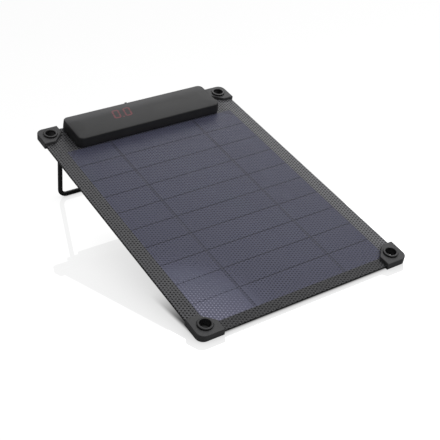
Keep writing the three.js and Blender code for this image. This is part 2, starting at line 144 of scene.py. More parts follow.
def apply_mods(o):
    dg = bpy.context.evaluated_depsgraph_get()
    me = bpy.data.meshes.new_from_object(o.evaluated_get(dg), depsgraph=dg)
    o.modifiers.clear()
    old = o.data
    o.data = me
    bpy.data.meshes.remove(old)


def boolean(o, others, op="DIFFERENCE"):
    for t in others:
        m = o.modifiers.new("b", "BOOLEAN")
        m.operation, m.solver, m.object = op, "EXACT", t
        apply_mods(o)
        me = t.data
        bpy.data.objects.remove(t)
        bpy.data.meshes.remove(me)
    return o


def clean(o, dist=1e-4):
    bm = bmesh.new()
    bm.from_mesh(o.data)
    bmesh.ops.remove_doubles(bm, verts=bm.verts, dist=dist)
    bmesh.ops.dissolve_degenerate(bm, edges=bm.edges, dist=dist)
    bm.to_mesh(o.data)
    bm.free()


def soft_edges(o, width, segments=3, angle=35):
    m = o.modifiers.new("bevel", "BEVEL")
    m.width, m.segments, m.limit_method = width, segments, "ANGLE"
    m.angle_limit = math.radians(angle)
    m.miter_outer = "MITER_ARC"
    m.use_clamp_overlap = True
    apply_mods(o)


def finish_piece(o, body, material, replaces=(), angle=32, weighted=True):
    """Smooth the piece, place it in the row frame and hang it on its body."""
    o.data.shade_smooth()
    o.data.set_sharp_from_angle(angle=math.radians(angle))
    if weighted:
        m = o.modifiers.new("wn", "WEIGHTED_NORMAL")
        m.keep_sharp = True
        apply_mods(o)
    o.data.transform(TO_ROW)
    o.data.materials.clear()
    o.data.materials.append(material)
    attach(o, body)
    if replaces:
        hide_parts(*replaces)
    return o


def turned(name, x, y, profile, n=96):
    bm = bmesh.new()
    rings = []
    for k in range(n):
        a = 2 * math.pi * k / n
        rings.append([bm.verts.new((x + r * math.cos(a), y + r * math.sin(a), z))
                      for r, z in profile])
    m = len(profile)
    for k in range(n):
        p, q = rings[k], rings[(k + 1) % n]
        for i in range(m):
            j = (i + 1) % m
            bm.faces.new((p[i], q[i], q[j], p[j]))
    bmesh.ops.recalc_face_normals(bm, faces=bm.faces)
    return obj_from_bm(name, bm)


def fillet(cx, cz, r, a0, a1, n=6):
    return [(cx + r * math.cos(math.radians(a0 + (a1 - a0) * k / n)),
             cz + r * math.sin(math.radians(a0 + (a1 - a0) * k / n))) for k in range(n + 1)]


# ---------------------------------------------------------------- shader helpers
class Tree:
    """Builds a node tree a call at a time; sockets and plain numbers both work as inputs."""

    def __init__(self, name):
        self.mat = bpy.data.materials.new(name)
        self.mat.use_nodes = True
        self.t = self.mat.node_tree
        self.t.nodes.clear()
        self.out = self.t.nodes.new("ShaderNodeOutputMaterial")

    def node(self, kind, **kw):
        n = self.t.nodes.new(kind)
        for k, v in kw.items():
            setattr(n, k, v)
        return n

    def put(self, sock, v):
        if isinstance(v, bpy.types.NodeSocket):
            self.t.links.new(v, sock)
        elif isinstance(v, (tuple, list)):
            sock.default_value = (*v, 1.0)[: len(sock.default_value)] if len(v) < len(sock.default_value) else v
        else:
            sock.default_value = v

    def math(self, op, a, b=0.0, c=0.0, clamp=False):
        n = self.node("ShaderNodeMath", operation=op, use_clamp=clamp)
        for s, v in zip(n.inputs, (a, b, c)):
            self.put(s, v)
        return n.outputs[0]

    def step(self, x, lo, hi):
        """Smooth 0 to 1 as x goes from lo to hi."""
        n = self.node("ShaderNodeMapRange", interpolation_type="SMOOTHSTEP")
        for i, v in enumerate((x, lo, hi, 0.0, 1.0)):
            self.put(n.inputs[i], v)
        return n.outputs[0]

    def lerp(self, x, lo, hi, a, b):
        n = self.node("ShaderNodeMapRange", interpolation_type="LINEAR")
        for i, v in enumerate((x, lo, hi, a, b)):
            self.put(n.inputs[i], v)
        return n.outputs[0]

    def mix(self, f, a, b, kind="MIX"):
        n = self.node("ShaderNodeMix", data_type="RGBA", blend_type=kind)
        self.put(n.inputs[0], f)
        self.put(n.inputs[6], a)
        self.put(n.inputs[7], b)
        return n.outputs[2]

    def coords(self):
        """(vector, x, y, z) in the panel's own millimetres, from the row-frame position."""
        tc = self.node("ShaderNodeTexCoord")
        a = self.node("ShaderNodeVectorMath", operation="SUBTRACT")
        self.put(a.inputs[0], tc.outputs["Object"])
        a.inputs[1].default_value = (0, OFF_Y, 0)
        r = self.node("ShaderNodeVectorRotate", rotation_type="X_AXIS")
        self.put(r.inputs["Vector"], a.outputs[0])
        r.inputs["Angle"].default_value = -TILT
        s = self.node("ShaderNodeVectorMath", operation="SCALE")
        self.put(s.inputs[0], r.outputs[0])
        s.inputs["Scale"].default_value = 1000.0
        p = self.node("ShaderNodeSeparateXYZ")
        self.put(p.inputs[0], s.outputs[0])
        return s.outputs[0], p.outputs[0], p.outputs[1], p.outputs[2]

    def noise(self, vec, scale, detail=2.0, rough=0.5, stretch=None):
        if stretch:
            m = self.node("ShaderNodeVectorMath", operation="MULTIPLY")
            self.put(m.inputs[0], vec)
            m.inputs[1].default_value = stretch
            vec = m.outputs[0]
        n = self.node("ShaderNodeTexNoise")
        self.put(n.inputs["Vector"], vec)
        n.inputs["Scale"].default_value = scale
        n.inputs["Detail"].default_value = detail
        n.inputs["Roughness"].default_value = rough
        return n.outputs["Fac"]

    def bump(self, height, strength, distance, normal=None):
        n = self.node("ShaderNodeBump")
        self.put(n.inputs["Height"], height)
        n.inputs["Strength"].default_value = strength
        n.inputs["Distance"].default_value = distance
        if normal is not None:
            self.put(n.inputs["Normal"], normal)
        return n.outputs[0]

    def edge(self, radius, lo=0.02, hi=0.25):
        """1 on convex or concave edges, from the rounded normal against the true one."""
        b = self.node("ShaderNodeBevel", samples=4)
        b.inputs["Radius"].default_value = radius
        g = self.node("ShaderNodeNewGeometry")
        d = self.node("ShaderNodeVectorMath", operation="DOT_PRODUCT")
        self.put(d.inputs[0], b.outputs[0])
        self.put(d.inputs[1], g.outputs["Normal"])
        return self.step(self.math("SUBTRACT", 1.0, d.outputs["Value"]), lo, hi)

    def principled(self, **kw):
        n = self.node("ShaderNodeBsdfPrincipled")
        for k, v in kw.items():
            self.put(n.inputs[k.replace("_", " ")], v)
        return n

    def done(self, shader):
        self.t.links.new(shader, self.out.inputs[0])
        return self.mat


def moulded(name, color, rough, spec=0.4, grain=0.35, grain_scale=2.6, vary=0.12, wear=0.5,
            edge_radius=0.0004, tint=(1, 1, 1)):
    """Fine-textured moulded plastic: spark-eroded grain, slight mottling, polished edges."""
    t = Tree(name)
    v, x, y, z = t.coords()
    mottled = t.noise(v, 0.09, 3.0, 0.6)
    fine = t.noise(v, 1.3, 3.0, 0.65)
    spark = t.noise(v, grain_scale, 2.0, 0.5)
    dark = tuple(c * (1 - vary) for c in color)
    light = tuple(c * (1 + vary) for c in color)
    base = t.mix(t.step(mottled, 0.3, 0.7), dark, light)
    base = t.mix(t.math("MULTIPLY", t.step(fine, 0.45, 0.75), 0.35), base,
                 tuple(min(1, c * 1.55 + 0.004) * k for c, k in zip(color, tint)))
    r = t.math("ADD", t.lerp(mottled, 0.25, 0.75, rough - 0.05, rough + 0.05),
               t.lerp(spark, 0.3, 0.7, -0.03, 0.03))
    if wear:
        e = t.edge(edge_radius)
        worn = t.math("MULTIPLY", t.math("MULTIPLY", e, t.step(fine, 0.35, 0.6)), wear)
        base = t.mix(worn, base, tuple(c * 2.2 + 0.01 for c in color))
        r = t.math("SUBTRACT", r, t.math("MULTIPLY", worn, 0.12))
    n = t.bump(spark, grain, 0.00006)
    p = t.principled(Base_Color=base, Roughness=r, Specular_IOR_Level=spec, Normal=n)
    return t.done(p.outputs[0])


def metal(name, color, rough, brushed=(1, 1, 1), metallic=1.0):
    t = Tree(name)
    v, x, y, z = t.coords()
    a = t.noise(v, 1.5, 4.0, 0.7, brushed)
    b = t.noise(v, 0.2, 2.0)
    base = t.mix(t.step(b, 0.3, 0.7), tuple(c * 0.88 for c in color), color)
    r = t.lerp(a, 0.3, 0.7, rough - 0.08, rough + 0.08)
    p = t.principled(Base_Color=base, Roughness=r, Metallic=metallic,
                     Normal=t.bump(a, 0.25, 0.00003))
    return t.done(p.outputs[0])


# ---------------------------------------------------------------- the embossed film
SHEET_X, SHEET_Y0, SHEET_Y1 = 90.0, 1.5, 256.5
FILM_TOP, FILM_BOTTOM = 2.9, 2.25
NK, NJ = 245, 312
DX3, DY3 = 2 * SHEET_X / NK, (SHEET_Y1 - SHEET_Y0) / NJ
DX, DY = 3 * DX3, 3 * DY3  # column spacing and pitch of the dimples
EYELETS = [(sx * 81.75, y) for y in (9.5, 248.5) for sx in (-1, 1)]


def painted_light_corner(t, x, y):
    """Mask of a painted highlight: 1 at the near left corner of the cell field, where it catches the light, falling to
    0.
    """
    cx, cy = t.math("ADD", x, 84.0), t.math("SUBTRACT", y, 4.0)
    far = t.math("SQRT", t.math("ADD", t.math("MULTIPLY", t.math("MULTIPLY", cx, cx), 1.9),
                                t.math("MULTIPLY", t.math("MULTIPLY", cy, cy), 1.0)))
    return t.math("POWER", t.step(far, 112.0, 4.0), 1.5)


def film_material():
    t = Tree("embossed_film")
    v, x, y, z = t.coords()

    def lattice(ox, oy):
        u = t.math("SUBTRACT", t.math("FRACT", t.math("ADD", t.math("DIVIDE", t.math("SUBTRACT", x, ox), 2 * DX), 0.5)), 0.5)
        w = t.math("SUBTRACT", t.math("FRACT", t.math("ADD", t.math("DIVIDE", t.math("SUBTRACT", y, oy), DY), 0.5)), 0.5)
        u, w = t.math("MULTIPLY", u, 2 * DX), t.math("MULTIPLY", w, DY)
        return t.math("SQRT", t.math("ADD", t.math("MULTIPLY", u, u), t.math("MULTIPLY", w, w)))

    d = t.math("MINIMUM", lattice(-SHEET_X, SHEET_Y0), lattice(-SHEET_X + DX, SHEET_Y0 + DY / 2))
    dot = t.step(d, 0.92, 0.42)
    cloud = t.noise(v, 0.03, 3.0, 0.55)
    fine = t.noise(v, 1.9, 3.0, 0.6)
    # the film wets the cells, so its net is thinner and bluer over them
    field = t.math("MULTIPLY", t.step(t.math("ABSOLUTE", x), 78.6, 78.3),
                   t.math("MULTIPLY", t.step(y, 10.1, 10.4), t.step(y, 223.9, 223.5)))
    # painted light and shade on the border: its net is painted paler towards the right-hand side and darker along the
    # front border
    right = t.step(x, 72.0, 82.0)
    net = t.mix(right, FILM["net"], tuple(c * 1.80 for c in FILM["net"]))
    net = t.mix(t.math("MULTIPLY", t.step(y, 10.4, 9.8), t.step(x, 82.0, 72.0)), net, tuple(c * 0.53 for c in FILM["net"]))
    # over the gaps between the strips and over the ribbons the film hangs in shadow
    # painted highlight at the near left corner: there the net over the cells is darker and the gap and ribbon lines
    # fade
    pale = painted_light_corner(t, x, y)
    gy = t.math("SUBTRACT", t.math("FRACT", t.math("ADD", t.math("DIVIDE", t.math("SUBTRACT", y, 10.2), 21.34), 0.5)), 0.5)
    gap = t.math("MULTIPLY", t.step(t.math("ABSOLUTE", t.math("MULTIPLY", gy, 21.34)), 0.62, 0.34),
                 t.math("MULTIPLY", t.step(y, 14.0, 16.0), t.step(y, 220.0, 218.0)))
    tape = t.step(t.math("ABSOLUTE", t.math("SUBTRACT", t.math("ABSOLUTE", x), 39.7)), 1.5, 1.2)
    over = t.mix(pale, FILM["field_net"], tuple(c * 0.84 for c in FILM["field_net"]))
    lined = t.math("SUBTRACT", 1.0, t.math("MULTIPLY", t.step(pale, 0.0, 0.42), 0.85))
    over = t.mix(t.math("MULTIPLY", t.math("MULTIPLY", tape, 0.55), lined), over, tuple(c * 0.66 for c in FILM["field_net"]))
    over = t.mix(t.math("MULTIPLY", t.math("MULTIPLY", gap, 0.9), lined), over, tuple(c * 0.38 for c in FILM["field_net"]))
    net = t.mix(field, net, over)
    speckled = t.mix(t.math("MULTIPLY", t.step(fine, 0.4, 0.8), t.lerp(field, 0, 1, 0.3, 0.12)), net,
                     t.mix(field, tuple(c * 1.5 for c in FILM["net"]), tuple(c * 1.35 for c in FILM["field_net"])))
    haze = t.mix(dot, speckled, t.mix(field, FILM["dot"], FILM["field_dot"]))
    rough = t.math("ADD", t.lerp(dot, 0, 1, FILM["rough"], FILM["rough"] - 0.06),
                   t.lerp(cloud, 0.3, 0.7, -0.03, 0.04))
    height = t.math("ADD", t.step(d, 0.1, 1.05), t.math("MULTIPLY", fine, 0.10))
    n = t.bump(height, FILM["bump"], 0.00012)
    p = t.principled(Base_Color=haze, Roughness=rough, Specular_IOR_Level=FILM["spec"], IOR=1.42, Normal=n)
    clear = t.node("ShaderNodeBsdfTransparent")
    clear.inputs[0].default_value = (0.93, 0.94, 0.96, 1)
    m = t.node("ShaderNodeMixShader")
    # at the painted highlight corner the net grows more opaque and the dots clear, so the painted-pale cells show
    # through as light dots
    full = t.mix(field, (FILM["net_opacity"],) * 3, t.mix(pale, (FILM["field_opacity"],) * 3, (0.86,) * 3))
    spot = t.mix(field, (FILM["dot_opacity"],) * 3, t.mix(t.step(pale, 0.0, 0.30), (0.84,) * 3, (0.03,) * 3))
    opacity = t.math("ADD", t.math("ADD", t.math("MULTIPLY", t.math("SUBTRACT", 1.0, dot), full),
                                   t.math("MULTIPLY", dot, spot)),
                     t.lerp(cloud, 0.3, 0.7, -0.03, 0.03))
    t.put(m.inputs[0], opacity)
    t.put(m.inputs[1], clear.outputs[0])
    t.put(m.inputs[2], p.outputs[0])
    return t.done(m.outputs[0])


FILM = dict(net=(0.126, 0.126, 0.133), dot=(0.044, 0.044, 0.046), rough=0.34, bump=0.5, spec=0.38,
            net_opacity=0.80, dot_opacity=0.32, field_net=(0.158, 0.161, 0.239), field_dot=(0.008, 0.008, 0.013), field_opacity=0.55)


def clear_underside():
    t = Tree("film_underside")
    v, x, y, z = t.coords()
    c = t.node("ShaderNodeBsdfTransparent")
    t.put(c.inputs[0], t.mix(t.noise(v, 0.05), (0.97, 0.97, 0.98), (0.99, 0.99, 1.0)))
    return t.done(c.outputs[0])


def build_film():
    bm = bmesh.new()
    cols = []
    for k in range(NK + 1):
        x = -SHEET_X + k * DX3
        col = []
        for j in range(NJ + 1):
            if k % 2 == 0:
                y = SHEET_Y0 + j * DY3
            else:
                y = SHEET_Y0 if j == 0 else SHEET_Y1 if j == NJ else SHEET_Y0 + (j + 0.5) * DY3
            z = FILM_TOP
            if 0 < k < NK and 0 < j < NJ:
                m, ph = divmod(k, 3)
                if ph == 0:
                    is_dot = (j % 3 == 0) if m % 2 == 0 else (j % 3 == 1)
                    if is_dot:
                        z -= 0.10
            px, py = x, y
            # the sheet's corners are rounded inside the guards
            for cx, cy, sx, sy in ((85, 6.5, 1, -1), (-85, 6.5, -1, -1), (85, 251.5, 1, 1), (-85, 251.5, -1, 1)):
                dx, dy = (px - cx) * sx, (py - cy) * sy
                if dx > 0 and dy > 0 and math.hypot(dx, dy) > 5:
                    s = 5 / math.hypot(dx, dy)
                    px, py = cx + sx * dx * s, cy + sy * dy * s
            col.append(bm.verts.new((px, py, z)))
        cols.append(col)

    def keep(*vs):
        for v in vs:
            for ex, ey in EYELETS:
                if (v.co.x - ex) ** 2 + (v.co.y - ey) ** 2 < 4.97 ** 2:
                    return False
        return True

    for k in range(NK):
        a, b = cols[k], cols[k + 1]
        for j in range(NJ):
            p, q, r, s = a[j], b[j], b[j + 1], a[j + 1]
            if k % 2 == 0:  # b is shifted up by half a step
                tris = ((p, q, s), (q, r, s)) if j else ((p, q, s), (q, r, s))
            else:
                tris = ((p, q, r), (p, r, s))
            for tri in tris:
                if keep(*tri):
                    bm.faces.new(tri)
    loose = [v for v in bm.verts if not v.link_faces]
    bmesh.ops.delete(bm, geom=loose, context="VERTS")
    bmesh.ops.dissolve_degenerate(bm, edges=bm.edges, dist=1e-3)
    bmesh.ops.recalc_face_normals(bm, faces=bm.faces)
    if sum(f.normal.z for f in list(bm.faces)[:200]) < 0:
        bmesh.ops.reverse_faces(bm, faces=bm.faces)
    rim = [e for e in bm.edges if len(e.link_faces) == 1]
    ex = bmesh.ops.extrude_edge_only(bm, edges=rim)
    low = [g for g in ex["geom"] if isinstance(g, bmesh.types.BMVert)]
    for v in low:
        v.co.z = FILM_BOTTOM + 0.01
    low_edges = [g for g in ex["geom"] if isinstance(g, bmesh.types.BMEdge) and len(g.link_faces) == 1]
    side = {f for e in low_edges for f in e.link_faces}
    made = bmesh.ops.triangle_fill(bm, use_beauty=False, use_dissolve=False, edges=low_edges)
    under = [g for g in made["geom"] if isinstance(g, bmesh.types.BMFace)]
    for f in under:
        f.material_index = 1
    for f in side:
        f.material_index = 0
    bmesh.ops.recalc_face_normals(bm, faces=bm.faces)
    o = obj_from_bm("front_film_embossed", bm)
    o.data.shade_smooth()
    o.data.set_sharp_from_angle(angle=math.radians(50))
    o.data.transform(TO_ROW)
    o.data.materials.append(film_material())
    o.data.materials.append(clear_underside())
    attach(o, "panel")
    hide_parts("front_film")
    return o


# ---------------------------------------------------------------- cells and board
def cell_material():
    t = Tree("silicon_cell")
    v, x, y, z = t.coords()
    per = t.math("FLOOR", t.math("DIVIDE", t.math("SUBTRACT", y, 10.2), 21.34))
    wn = t.node("ShaderNodeTexWhiteNoise", noise_dimensions="1D")
    t.put(wn.inputs["W"], per)
    tone = t.lerp(wn.outputs["Value"], 0, 1, 0.93, 1.07)
    # painted highlight: the cells are painted paler towards the near left corner, where they catch the light
    pale = painted_light_corner(t, x, y)
    tone = t.math("MULTIPLY", tone, t.lerp(pale, 0, 1, 1.0, 1.6))
    cloud = t.noise(v, 0.018, 3.0, 0.5)
    hue = t.noise(v, 0.013, 2.0, 0.5)
    grainy = t.noise(v, 0.9, 4.0, 0.7)
    blue = t.mix(t.step(cloud, 0.3, 0.7), CELL["a"], CELL["b"])
    blue = t.mix(t.math("MULTIPLY", t.step(hue, 0.52, 0.68), 0.8), blue, CELL["teal"])
    blue = t.mix(t.math("MULTIPLY", t.step(grainy, 0.45, 0.8), 0.18), blue, CELL["c"])
    # painted highlight colour mixed in towards the near left corner
    blue = t.mix(t.math("MULTIPLY", pale, 0.85), blue, CELL["pale"])
    mul = t.node("ShaderNodeVectorMath", operation="SCALE")
    t.put(mul.inputs[0], blue)
    t.put(mul.inputs["Scale"], tone)
    # silver fingers along the strip, 1.78 mm apart
    fy = t.math("ABSOLUTE", t.math("SUBTRACT", t.math("FRACT", t.math("DIVIDE", t.math("SUBTRACT", y, 10.2), 21.34 / 12)), 0.5))
    finger = t.step(fy, 0.035, 0.02)
    col = t.mix(t.math("MULTIPLY", finger, 0.18), mul.outputs[0], (0.22, 0.225, 0.25))
    p = t.principled(Base_Color=col, Roughness=t.lerp(grainy, 0.3, 0.7, 0.26, 0.36),
                     Specular_IOR_Level=CELL["spec"], Specular_Tint=(0.75, 0.78, 1.0, 1.0), IOR=1.5,
                     Normal=t.bump(grainy, 0.12, 0.00002))
    return t.done(p.outputs[0])


# pale is the painted highlight colour of the near left corner
CELL = dict(a=(0.087, 0.089, 0.138), b=(0.106, 0.109, 0.168), c=(0.14, 0.14, 0.20),
            teal=(0.082, 0.108, 0.145), pale=(0.46, 0.44, 0.54), spec=0.12)


def ribbon_material():
    t = Tree("dark_ribbon")
    v, x, y, z = t.coords()
    patch = t.noise(v, 0.035, 3.0, 0.6)
    grainy = t.noise(v, 1.2, 4.0, 0.7, (3, 0.4, 1))
    base = t.mix(t.step(patch, 0.35, 0.65), (0.056, 0.056, 0.078), (0.080, 0.081, 0.112))
    # a painted highlight along the right-hand edge of each ribbon, broken here and there
    ax = t.math("ABSOLUTE", t.math("SUBTRACT", t.math("SUBTRACT", t.math("ABSOLUTE", t.math("ADD", x, -0.0)), 39.7), 1.0))
    painted_edge_glint = t.math("MULTIPLY", t.step(ax, 0.35, 0.12), t.step(patch, 0.48, 0.62))
    base = t.mix(t.math("MULTIPLY", painted_edge_glint, 0.45), base, (0.26, 0.27, 0.32))
    p = t.principled(Base_Color=base, Roughness=t.lerp(grainy, 0.3, 0.7, 0.35, 0.5),
                     Specular_IOR_Level=0.2, Metallic=0.2, Normal=t.bump(grainy, 0.2, 0.00003))
    return t.done(p.outputs[0])


def board_material():
    t = Tree("glass_fibre_board")
    v, x, y, z = t.coords()
    # plain weave, 0.9 mm tows
    wx = t.math("SINE", t.math("MULTIPLY", x, 2 * math.pi / 1.8))
    wy = t.math("SINE", t.math("MULTIPLY", y, 2 * math.pi / 1.8))
    weave = t.math("MULTIPLY", wx, wy)
    cloud = t.noise(v, 0.05, 3.0, 0.6)
    base = t.mix(t.step(weave, -0.6, 0.6), (0.014, 0.014, 0.015), (0.022, 0.022, 0.023))
    base = t.mix(t.math("MULTIPLY", t.step(cloud, 0.35, 0.75), 0.4), base, (0.030, 0.030, 0.031))
    n = t.bump(weave, 0.25, 0.00004, t.bump(t.noise(v, 2.5, 3.0), 0.2, 0.00003))
    # the face under the film is wetted by the encapsulant and hardly shines
    shine = t.lerp(t.step(z, 2.0, 2.15), 0, 1, 0.4, 0.03)
    p = t.principled(Base_Color=base, Roughness=t.lerp(cloud, 0.3, 0.7, 0.42, 0.55),
                     Specular_IOR_Level=shine, Normal=n)
    return t.done(p.outputs[0])


# ---------------------------------------------------------------- controller cover
DIGIT_W, DIGIT_H, STROKE, SLANT = 5.1, 10.5, 0.62, math.tan(math.radians(10))
DIGITS = [(-23.8, 244.0), (-13.4, 244.0)]
POINT = (-19.6, 238.4)


def cover_material():
    t = Tree("housing_plastic")
    v, x, y, z = t.coords()
    mottled = t.noise(v, 0.05, 3.0, 0.6)
    fine = t.noise(v, 1.3, 3.0, 0.65)
    spark = t.noise(v, 2.8, 2.0, 0.5)
    c = COVER["color"]
    base = t.mix(t.step(mottled, 0.3, 0.7), tuple(k * 0.9 for k in c), tuple(k * 1.1 for k in c))
    base = t.mix(t.math("MULTIPLY", t.step(fine, 0.5, 0.8), 0.25), base, tuple(k * 1.5 for k in c))
    # painted light and shade on the top: painted paler towards the rear, a painted highlight along the rear edge,
    # painted darker to the right
    top = t.step(z, 11.2, 12.0)
    base = t.mix(t.math("MULTIPLY", t.math("MULTIPLY", top, t.step(y, 236.0, 248.0)), 0.8), base, tuple(k * 1.35 for k in c))
    base = t.mix(t.math("MULTIPLY", t.math("MULTIPLY", top, t.step(y, 244.5, 256.0)), 0.9), base, tuple(k * 3.6 for k in c))
    base = t.mix(t.math("MULTIPLY", t.math("MULTIPLY", top, t.step(x, -40.0, 60.0)), 0.42), base, tuple(k * 0.35 for k in c))
    e = t.edge(0.0006)
    base = t.mix(t.math("MULTIPLY", t.math("MULTIPLY", e, t.step(fine, 0.35, 0.6)), 0.35), base,
                 tuple(k * 1.8 + 0.006 for k in c))
    r = t.math("ADD", t.lerp(mottled, 0.25, 0.75, COVER["rough"] - 0.04, COVER["rough"] + 0.04),
               t.lerp(spark, 0.3, 0.7, -0.03, 0.03))
    # the figures: light from the display in the wells under the thinned roof
    glow = None
    for cx, cy in DIGITS:
        qy = t.math("SUBTRACT", y, cy)
        qx = t.math("SUBTRACT", t.math("SUBTRACT", x, cx), t.math("MULTIPLY", qy, SLANT))
        w, h = DIGIT_W / 2, DIGIT_H / 2
        for mx, my, lx, ly in ((-w, h / 2, 0, h / 2), (w, h / 2, 0, h / 2), (-w, -h / 2, 0, h / 2),
                               (w, -h / 2, 0, h / 2), (0, h, w, 0), (0, -h, w, 0)):
            px = t.math("SUBTRACT", t.math("ABSOLUTE", t.math("SUBTRACT", qx, mx)), max(lx - 0.75, 0))
            py = t.math("SUBTRACT", t.math("ABSOLUTE", t.math("SUBTRACT", qy, my)), max(ly - 0.75, 0))
            px, py = t.math("MAXIMUM", px, 0.0), t.math("MAXIMUM", py, 0.0)
            # pointed segment ends: distance by the sum, body by the larger
            dd = t.math("ADD", t.math("MAXIMUM", px, py), t.math("MULTIPLY", t.math("MINIMUM", px, py), 0.55))
            g = t.step(dd, STROKE + 0.34, STROKE - 0.16)
            glow = g if glow is None else t.math("MAXIMUM", glow, g)
    qy = t.math("SUBTRACT", y, POINT[1])
    qx = t.math("SUBTRACT", x, POINT[0])
    dd = t.math("SQRT", t.math("ADD", t.math("MULTIPLY", qx, qx), t.math("MULTIPLY", qy, qy)))
    glow = t.math("MAXIMUM", glow, t.step(dd, 1.0, 0.55))
    glow = t.math("MULTIPLY", glow, t.step(z, 11.9, 12.1))
    uneven = t.lerp(t.noise(v, 0.35, 1.0), 0.3, 0.7, 0.75, 1.15)
    n = t.bump(spark, 0.28, 0.00006)
    p = t.principled(Base_Color=base, Roughness=r, Specular_IOR_Level=COVER["spec"], Normal=n,
                     Emission_Color=COVER["led"],
                     Emission_Strength=t.math("MULTIPLY", t.math("MULTIPLY", glow, uneven), COVER["glow"]))
    return t.done(p.outputs[0])


COVER = dict(color=(0.031, 0.031, 0.032), rough=0.42, spec=0.32, led=(1.0, 0.10, 0.16), glow=0.12)


def build_cover():
    x1, y0, y1, r = 68.0, 223.4, 257.8, 5.0

    def loop(inset, z):
        return [(px, py, z) for px, py in
                loop_rrect(-x1 + inset, x1 - inset, y0 + inset, y1 - inset, max(r - inset, 0.4), 12)]

    # an undercut foot, walls that lean in as they rise, a small top radius and a slight crown
    loops = [loop(0.55, 3.3), loop(0.30, 3.5), loop(0.12, 3.9), loop(0.0, 4.7), loop(0.05, 6.4), loop(0.17, 8.2),
             loop(0.33, 9.9), loop(0.50, 11.3)]
    R = 0.95
    for k in range(1, 9):
        a = math.pi / 2 * k / 8
        loops.append(loop(0.50 + R * (1 - math.cos(a)), 11.3 + R * math.sin(a)))
    for inset, dz in ((2.4, 0.05), (4.0, 0.085), (6.0, 0.11), (9.0, 0.135)):
        loops.append([(px, py, 12.25 + dz) for px, py in
                      loop_rrect(-x1 + inset, x1 - inset, y0 + inset, y1 - inset, max(r - inset * 0.5, 0.8), 12)])
    loops.append([(px, py, 12.4) for px, py in loop_rrect(-x1 + 13, x1 - 13, y0 + 13, y1 - 13, 1.0, 12)])
    crown = [[(px, py, pz + max(0.0, pz - 11.3) / 1.1 * 0.62 * max(0.0, 1 - ((py - (y0 + y1) / 2) / 16.6) ** 2))
              for px, py, pz in ring] for ring in loops]
    o = stacked("housing_cover_shell", crown)
    inner = prism("t", loop_rrect(-65.7, 65.7, 226.3, 255.2, 3.2, 8), 2.5, 10.7)
    roof = block("t", -30.6, -8, 236.3, 251.7, 10.0, 11.7)
    port = prism("t", loop_rrect(2 - 6.65, 2 + 6.65, -2.95, 2.95, 0.7, 5), 0, 4)
    port.data.transform(Matrix.Translation((0, 254.2, 7.5)) @ Matrix.Rotation(math.radians(-90), 4, "X"))
    niche = prism("t", [(-9.5, -12)] + [(11.5, -12)] + fillet(10.4, -0.05 + 3.6 - 1.1, 1.1, 0, 90, 6)
                  + fillet(-8.4, -0.05 + 3.6 - 1.1, 1.1, 90, 180, 6), 0, 4)
    niche.data.transform(Matrix.Translation((0, 259.8, 7.5)) @ Matrix.Rotation(math.radians(90), 4, "X"))
    boolean(o, [inner, roof, port, niche])
    for bx, by in ((-52, 230.5), (52, 230.5), (-52, 251), (52, 251)):
        boolean(o, [cyl("t", bx, by, 3.0, 4.3, 11.2, 32)], "UNION")
        boolean(o, [cyl("t", bx, by, 1.3, 4.0, 10.2, 24)])
    return finish_piece(o, "panel", cover_material(), ["housing_cover"], angle=38)


# ---------------------------------------------------------------- corner guards
GUARD_TOP = 5.6


def guard_outline(ex, ey, sx, sy, n=14):
    o, a, c, r = 9.5, -10.0, -0.1, 6.0
    rel = [(a, o)]
    for k in range(n + 1):
        t = math.radians(90 - 90 * k / n)
        rel.append((o - r + r * math.cos(t), o - r + r * math.sin(t)))
    rel += [(o, a), (c, a), (a, c)]
    pts = [(ex + sx * u, ey + sy * v) for u, v in rel]
    return pts if sx * sy < 0 else pts[::-1]


def build_guard(where, ex, ey, sx, sy, mat):
    o = prism("corner_guard_%s_moulding" % where, guard_outline(ex, ey, sx, sy), 0, GUARD_TOP)
    top = lambda e: all(abs(v.co.z - GUARD_TOP) < 1e-4 for v in e.verts)
    bevel_edges(o, top, 0.55, 4)
    low = lambda e: all(abs(v.co.z) < 1e-4 for v in e.verts)
    bevel_edges(o, low, 0.22, 2)
    slot = prism("t", loop_rrect(-90.05, 90.05, 1.45, 256.55, 5.05, 8), 0.95, 2.95)
    boolean(o, [slot, cyl("t", ex, ey, 5.0, -1, 7, 72), cyl("t", ex, ey, 6.1, GUARD_TOP - 0.4, 7, 72),
                cyl("t", ex, ey, 6.6, -1, 0.55, 72)])
    clean(o)
    soft_edges(o, 0.10, 2, 40)
    return finish_piece(o, "panel", mat, ["corner_guard_" + where])


def build_eyelet(where, ex, ey, mat):
    prof = ([(4.85, 0.05), (4.85, 5.25)] + [(5.5, 5.25), (5.55, 5.35), (5.55, 5.95), (5.65, 6.1)]
            + fillet(5.35, 6.6, 0.30, 0, 90, 5) + fillet(4.45, 6.55, 0.35, 90, 180, 6)
            + [(4.1, 0.3), (4.2, 0.12), (4.4, 0.05)])
    o = turned("eyelet_%s_ring" % where, ex, ey, prof)
    finish_piece(o, "panel", mat, ["eyelet_" + where], weighted=False)
    prof = [(4.95, 0.07), (5.05, 0.02), (6.35, 0.02), (6.45, 0.06), (6.5, 0.14), (6.5, 0.5), (4.95, 0.5)]
    o = turned("eyelet_washer_%s_ring" % where, ex, ey, prof)
    finish_piece(o, "panel", mat, ["eyelet_washer_" + where], weighted=False)


